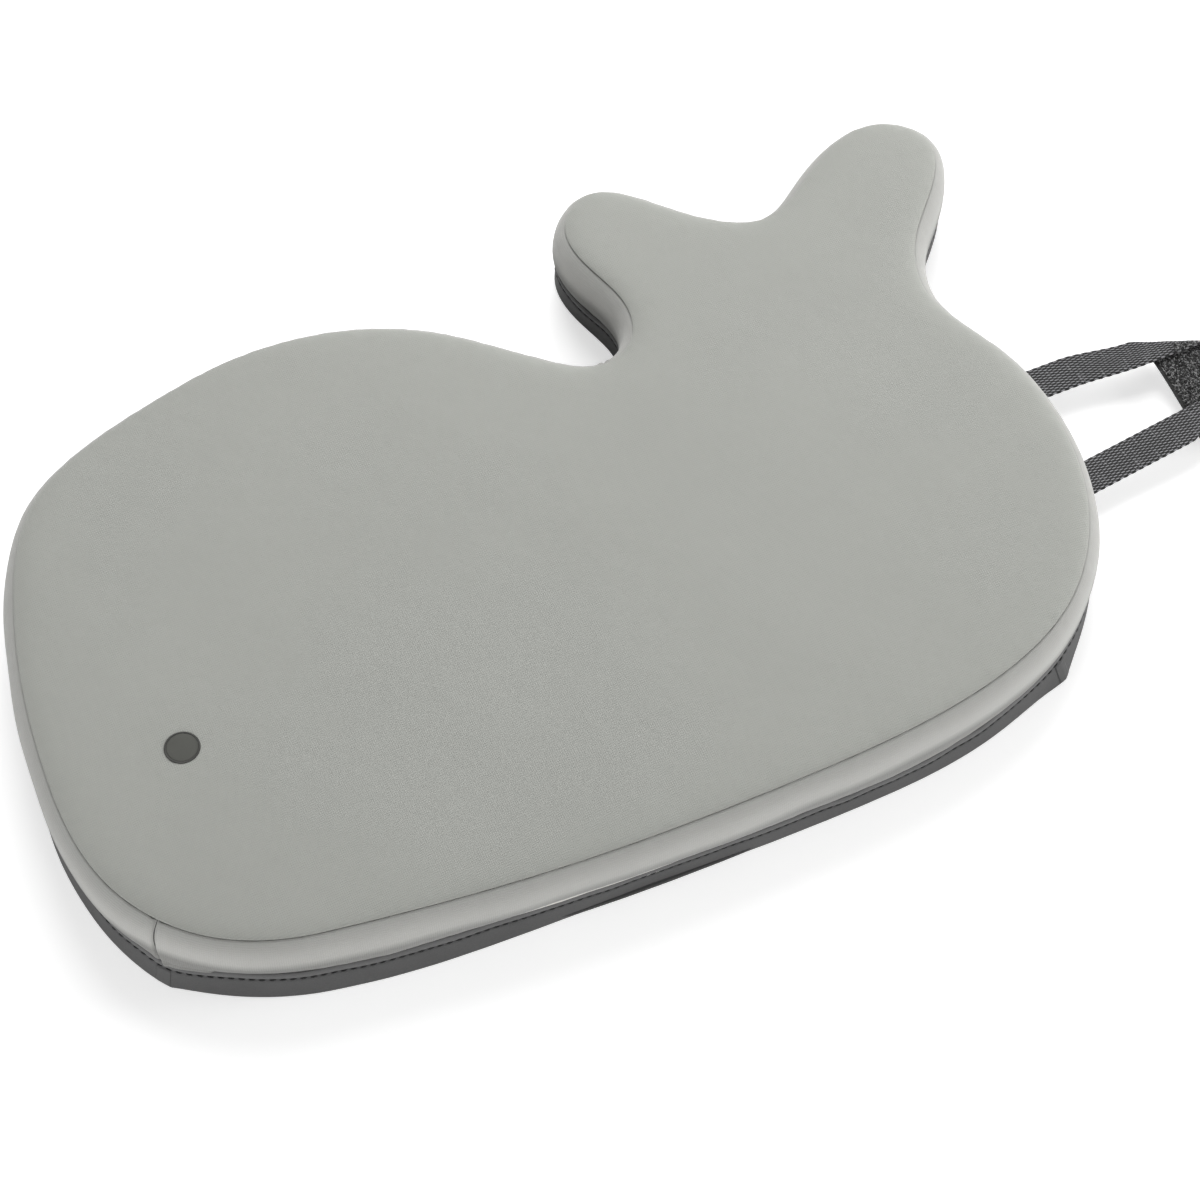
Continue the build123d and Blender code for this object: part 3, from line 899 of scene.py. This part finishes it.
def loop_lift(x, y):
    """How far the loop stands up from flat: it rises away from the pad, most at the upper leg."""
    rise = 0.9 * smooth_step(x, SWING_X + 6, SWING_X + 42)
    hump = 1.2 * smooth_step(x, SWING_X + 12, SWING_X + 62)
    return rise + hump * np.exp(-((y - UPPER_LOW + 2) / 13) ** 2)


def loop_point(x, y, z):
    """A point of the loop. What stands higher also leans back towards the pad's front."""
    lift = loop_lift(x, y)
    droop = 2.0 * smooth_step(y, UPPER_LOW - 24, UPPER_LOW - 1) + 2.2 * smooth_step(y, UPPER_LOW, UPPER_HIGH)
    droop = droop * smooth_step(x, SWING_X + 14, SWING_X + 46)
    return np.stack([x - 0.3 * lift, y - 0.45 * lift - droop, z + lift], -1)


def weave_relief(along, across):
    """The height of the woven floats, 0 to 1."""
    rib = across / RIB
    within = rib % 1
    ridge = 1 - np.abs(within - 0.5) * 2
    turns = along / FLOAT + 0.5 * np.floor(rib) + SLANT * within
    wave = 0.5 + 0.5 * np.cos(2 * math.pi * turns)
    return wave * ridge**0.7


def ribbon(name, surface, along, across, material, thick=STRAP_THICK, relief=0.16):
    """A woven strap. surface gives its middle for grids of along and across, both in millimetres."""
    scallop = 0.13 * np.cos(2 * math.pi * along / FLOAT) * np.sign(across)
    middle = surface(along, across + scallop * np.clip(np.abs(across) / HALF, 0, 1) ** 12)
    step_a = np.gradient(middle, axis=0)
    step_b = np.gradient(middle, axis=1)
    normal = np.cross(step_a, step_b)
    normal /= np.linalg.norm(normal, axis=-1)[..., None]
    edge = np.clip((HALF - np.abs(across)) / 0.6, 0, 1) ** 0.5
    bulk = (thick / 2 - relief) * (0.45 + 0.55 * edge)
    woven = relief * weave_relief(along, across) * edge
    upper = middle + normal * (bulk + woven)[..., None]
    lower = middle - normal * (bulk + woven)[..., None]
    rows, columns = along.shape
    n = rows * columns
    faces = grid_faces(rows, columns) + grid_faces(rows, columns, start=n)
    rim_loop = [(0, j) for j in range(columns)] + [(i, columns - 1) for i in range(1, rows)]
    rim_loop += [(rows - 1, j) for j in range(columns - 2, -1, -1)]
    rim_loop += [(i, 0) for i in range(rows - 2, 0, -1)]
    ids = [i * columns + j for i, j in rim_loop]
    faces += [[a, b, n + b, n + a] for a, b in zip(ids, ids[1:] + ids[:1])]
    weave = np.stack([along, across, 0 * along], -1).reshape(-1, 3)
    vertices = np.vstack([upper.reshape(-1, 3), lower.reshape(-1, 3)])
    return finish_mesh(name, vertices, faces, material, np.vstack([weave, weave]))


def strap_grid(starts, ends, step=0.36, columns=67):
    """Along and across values: each column runs from its own start to its own end."""
    rows = int(np.max(ends - starts) / step)
    across = np.linspace(-HALF, HALF, columns)
    share = np.linspace(0, 1, rows)[:, None]
    along = starts[None] + share * (ends - starts)[None]
    return along, np.repeat(across[None], rows, 0)


def upper_surface(along, across):
    """The upper leg, wrapped over its slanted fold. along is measured from the swing line."""
    line = np.array([math.cos(FOLD_ANGLE), -math.sin(FOLD_ANGLE)])
    out = np.array([math.sin(FOLD_ANGLE), math.cos(FOLD_ANGLE)])
    x = SWING_X + along - FOLD_FAR[0]
    y = UPPER_Y + across - FOLD_FAR[1]
    past = x * out[0] + y * out[1]
    turned = np.clip(past / FOLD_RADIUS, 0, math.pi)
    flat = np.minimum(past, 0)
    back = np.maximum(past - math.pi * FOLD_RADIUS, 0)
    reach = flat + FOLD_RADIUS * np.sin(turned) - back
    run = x * line[0] + y * line[1]
    z = STRAP_Z - FOLD_RADIUS * (1 - np.cos(turned))
    px = FOLD_FAR[0] + line[0] * run + out[0] * reach
    py = FOLD_FAR[1] + line[1] * run + out[1] * reach
    return loop_point(px, py, z)


def lower_surface(along, across):
    x = LOWER_START[0] + FORWARD[0] * along + LEFTWARD[0] * across
    y = LOWER_START[1] + FORWARD[1] * along + LEFTWARD[1] * across
    return loop_point(x, y, np.full_like(x, STRAP_Z))


STRAP_COLUMNS = 67      # mesh points across the webbing


def make_upper_strap():
    """The upper leg, with its fold and short tail."""
    across = np.linspace(-HALF, HALF, STRAP_COLUMNS)
    fold_start = (FOLD_FAR[0] - SWING_X) + (HALF - across) / math.tan(FOLD_ANGLE)
    wrap = math.pi * FOLD_RADIUS / math.sin(FOLD_ANGLE)
    tail = (across + HALF) / math.sin(2 * FOLD_ANGLE)
    start = np.full(STRAP_COLUMNS, ROOT_X - SWING_X)
    parts = [strap_grid(start, fold_start)]
    parts.append(strap_grid(fold_start, fold_start + wrap, 0.3))
    parts.append(strap_grid(fold_start + wrap, fold_start + wrap + tail + 0.6, 0.6))
    along = np.vstack([parts[0][0]] + [p[0][1:] for p in parts[1:]])
    across = np.vstack([parts[0][1]] + [p[1][1:] for p in parts[1:]])
    piece = ribbon("upper_webbing", upper_surface, along, across, WEBBING)
    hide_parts("upper_strap", "upper_strap_root")
    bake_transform(piece)


SPLIT = 22.0        # where the lower leg's two meshes meet, well clear of both hinges


def make_lower_strap():
    """The lower leg, and its free end that peels."""
    across = np.linspace(-HALF, HALF, STRAP_COLUMNS)
    start = np.full(STRAP_COLUMNS, ROOT_X - SWING_X)
    along, side = strap_grid(start, np.full(STRAP_COLUMNS, SPLIT))
    leg = ribbon("lower_webbing", lower_surface, along, side, WEBBING)
    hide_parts("lower_strap", "lower_strap_root")
    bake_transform(leg)
    slant = (HALF + across) / math.tan(math.radians(28))
    round_near = 4.5 * (1 - np.sqrt(1 - np.clip((4.5 - (across + HALF)) / 4.5, 0, 1) ** 2))
    ends = LEG_LENGTH + 4.0 + slant - 0.55 * round_near
    along, side = strap_grid(np.full(STRAP_COLUMNS, SPLIT), ends)
    tab = ribbon("closure_tab", lower_surface, along, side, WEBBING)
    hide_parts("strap_tab")
    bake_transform(tab)


def tape_outline_x(y):
    """The soft tape's left edge, which bows a little and leans."""
    share = (y - PILE_LOW[1]) / (PILE_HIGH[1] - PILE_LOW[1])
    return PILE_LOW[0] - 3.0 + 2.0 * share + 0.7 * np.sin(math.pi * np.clip(share, 0, 1))


def make_pile_tape():
    """The soft tape that crosses the loop: woven edges and a brushed middle."""
    rows, columns = 118, 58
    v = np.linspace(0, 1, rows)[:, None]
    u = np.linspace(0, 1, columns)[None]
    width = PILE_HIGH[0] - PILE_LOW[0]
    slope = math.tan(FOLD_ANGLE)
    top_y = FOLD_FAR[1] - (PILE_LOW[0] + u * width - FOLD_FAR[0]) * slope - 1.4
    y = PILE_LOW[1] + v * (top_y - PILE_LOW[1])
    x = tape_outline_x(y) + u * width + 0 * y
    middle_z = (PILE_LOW[2] + PILE_HIGH[2]) / 2 + 0 * x
    hairy = seeded.uniform(0, 1, x.shape)
    hairy = (hairy + np.roll(hairy, 1, 0) + np.roll(hairy, 1, 1)) / 3
    inside = smooth_step(np.minimum(u, 1 - u) * width, 0.9, 2.0) * np.ones_like(x)
    half_thick = 0.4 + inside * (0.2 + 0.45 * hairy)
    upper = loop_point(x, y, middle_z - 0.3 + half_thick)
    lower = loop_point(x, y, middle_z - 0.65)
    n = rows * columns
    faces = grid_faces(rows, columns) + grid_faces(rows, columns, start=n)
    ids = [j for j in range(columns)] + [i * columns + columns - 1 for i in range(1, rows)]
    ids += [(rows - 1) * columns + j for j in range(columns - 2, -1, -1)]
    ids += [i * columns for i in range(rows - 2, 0, -1)]
    faces += [[a, b, n + b, n + a] for a, b in zip(ids, ids[1:] + ids[:1])]
    vertices = np.vstack([upper.reshape(-1, 3), lower.reshape(-1, 3)])
    tape = finish_mesh("pile_tape_cloth", vertices, faces, PILE)
    pick = seeded.choice(np.flatnonzero(inside.ravel() > 0.3), 2600, replace=False)
    centres = upper.reshape(-1, 3)[pick]
    strays = 420        # yarn loops that may overrun on to the folded webbing
    over = np.column_stack([seeded.uniform(-11, 1.5, strays), -seeded.uniform(0.2, 5.0, strays)])
    tip = FOLD_FAR + (math.cos(FOLD_ANGLE) * 33.0, -math.sin(FOLD_ANGLE) * 33.0)
    turned = tip + over @ np.array([
        (math.cos(FOLD_ANGLE), -math.sin(FOLD_ANGLE)), (math.sin(FOLD_ANGLE), math.cos(FOLD_ANGLE))
    ])
    on_fold = loop_point(turned[:, 0], turned[:, 1], np.full(strays, STRAP_HIGH + 0.1))
    centres = np.vstack([centres, on_fold[turned[:, 1] > UPPER_LOW + 0.4]])
    count = len(centres)
    angles = seeded.uniform(0, math.pi, count)
    along = np.column_stack([np.cos(angles), np.sin(angles), seeded.normal(0, 0.3, count)])
    along /= np.linalg.norm(along, axis=1)[:, None]
    ups = np.tile((0.0, 0.0, 1.0), (count, 1))
    fuzz = capsules("pile_loops", centres, along, ups, 1.5, 0.33, PILE_YARN, 1.0)
    for piece, slot in ((tape, "pile"), (fuzz, "pile")):
        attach(piece, "loop")
    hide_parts("pile_tape")


def row_of_stitches(name, starts, ends, material, body, node, pitch=2.6, length=2.0, thick=0.34):
    """Stitches in straight rows on the loop, from each start to each end."""
    centres, along = [], []
    for a, b in zip(starts, ends):
        a, b = np.array(a, float), np.array(b, float)
        count = max(int(np.linalg.norm(b - a) / pitch), 2)
        for k in range(count):
            centres.append(a + (b - a) * (k + 0.5) / count)
            along.append((b - a) / np.linalg.norm(b - a))
    centres, along = np.array(centres), np.array(along)
    centres[:, 2] += loop_lift(centres[:, 0], centres[:, 1])
    ups = np.tile((0.0, 0.0, 1.0), (len(centres), 1))
    piece = capsules(name, centres, along, ups, length, thick, material)
    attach(piece, body)
    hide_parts(node)


def make_stitches():
    """The stitches that hold the soft tape and the hook tape."""
    low, high = (np.array(c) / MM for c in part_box("pile_stitches"))
    z = PILE_HIGH[2] - 0.15
    starts = [(x, low[1], z) for x in (low[0] + 0.6, high[0] - 0.3)]
    ends = [(x, high[1], z) for x in (low[0] + 0.9, high[0] - 0.1)]
    row_of_stitches("pile_stitching", starts, ends, GROUND_THREAD, "loop", "pile_stitches")
    low, high = (np.array(c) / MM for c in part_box("hook_stitches"))
    start = (low[0], low[1] + 0.3, STRAP_HIGH + 0.02)
    end = (high[0], high[1] - 0.3, STRAP_HIGH + 0.02)
    row_of_stitches("hook_stitching", [start], [end], GROUND_THREAD, "tab", "hook_stitches")


def make_hook_tape():
    """The stiff tape under the free end, with rows of small bent hooks that point down."""
    low, high = (np.array(c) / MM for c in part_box("hook_tape"))
    cad = frame["nodes"]["hook_tape"]
    corners = np.array([v.co for v in cad.data.vertices]) / MM
    flat = np.unique(corners[corners[:, 2] < low[2] + 0.05][:, :2].round(3), axis=0)
    middle = flat.mean(0)
    order = np.argsort(np.arctan2(*(flat - middle).T[::-1]))
    loop = flat[order]
    vertices, faces = [], []
    n = len(loop)
    for z in (high[2] - 0.35, high[2] - 0.05):
        for x, y in loop:
            vertices.append((x, y, z + float(loop_lift(x, y))))
    faces += [list(range(n)), list(range(2 * n - 1, n - 1, -1))]
    faces += [[j, (j + 1) % n, n + (j + 1) % n, n + j] for j in range(n)]
    shrunk = middle + (loop - middle) * 0.86
    spots = np.array([
        (x, y) for x in np.arange(low[0], high[0], 1.3) for y in np.arange(low[1], high[1], 1.3)
    ])
    sides = 5
    for x, y in spots[inside_of(spots, shrunk)]:
        start = len(vertices)
        base = high[2] - 0.35 + float(loop_lift(x, y))
        for k in range(4):
            drop, reach = (0.0, 0.22, 0.38, 0.40)[k], (0.0, 0.0, 0.12, 0.30)[k]
            radius = (0.16, 0.13, 0.11, 0.07)[k]
            for j in range(sides):
                angle = 2 * math.pi * j / sides
                vertices.append(
                    (x + reach + radius * math.cos(angle), y + radius * math.sin(angle), base - drop)
                )
        faces += grid_faces(4, sides, wrap_columns=True, start=start)
        faces.append([start + j for j in range(sides)])
        faces.append([start + 3 * sides + j for j in range(sides)])
    piece = finish_mesh("hook_tape_strip", vertices, faces, HOOK, smooth=False)
    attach(piece, "tab")
    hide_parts("hook_tape")


# ---------------------------------------------------------------- the floor
def add_floor():
    """A white floor that glows a little for the camera only, as the ground of a product picture."""
    material, tree, shader = new_material("studio_floor")
    set_finish(shader, 0.9, specular=0.1)
    shader.inputs["Base Color"].default_value = (0.72, 0.72, 0.72, 1)
    shader.inputs["Emission Color"].default_value = (1, 1, 1, 1)
    seen = tree.nodes.new("ShaderNodeLightPath").outputs["Is Camera Ray"]
    lit = math_node(tree, "MULTIPLY", seen, 0.55)
    tree.links.new(lit, shader.inputs["Emission Strength"])
    mesh = bpy.data.meshes.new("studio_floor")
    mesh.from_pydata([(-4, -4, 0), (4, -4, 0), (4, 4, 0), (-4, 4, 0)], [], [(0, 1, 2, 3)])
    mesh.materials.append(material)
    floor = bpy.data.objects.new("studio_floor", mesh)
    floor.location.z = -0.0002
    bpy.context.scene.collection.objects.link(floor)


def finish_cad_nodes():
    """What stays of the frame's own solids: inside pieces, each with its own surface."""
    kept = {
        "foam_core": FOAM,
        "upper_root_tack": GROUND_THREAD,
        "lower_root_tack": GROUND_THREAD,
    }
    for node, material in kept.items():
        mesh_materials = frame["nodes"][node].data.materials
        mesh_materials.clear()
        mesh_materials.append(material)


def make_cover():
    top, surface = make_top()
    sides = make_side_bands()
    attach(top, "pad")
    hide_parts("top_panel")
    for piece, node in zip(sides, ("side_band_belly", "side_band_back")):
        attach(piece, "pad")
        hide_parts(node)
    seam = line_stitches("seam_stitches", -0.6, SEAM_Z - 0.85, 3.2, 2.5, 0.3, SEAM_THREAD)
    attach(seam, "pad")
    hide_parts("top_seam")
    make_join_thread("nose")
    make_join_thread("tail")
    groove = line_stitches(
        "rim_stitches", -0.18, RIM_Z - 0.45, 3.6, 2.6, 0.68, GROUND_THREAD, 0.06, rim_shape
    )
    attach(groove, "pad")
    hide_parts("rim_topstitch")
    make_eye(surface)


add_camera()
add_studio()
add_floor()
finish_cad_nodes()
make_cover()
make_base()
make_sheet()
make_upper_strap()
make_lower_strap()
make_pile_tape()
make_hook_tape()
make_stitches()
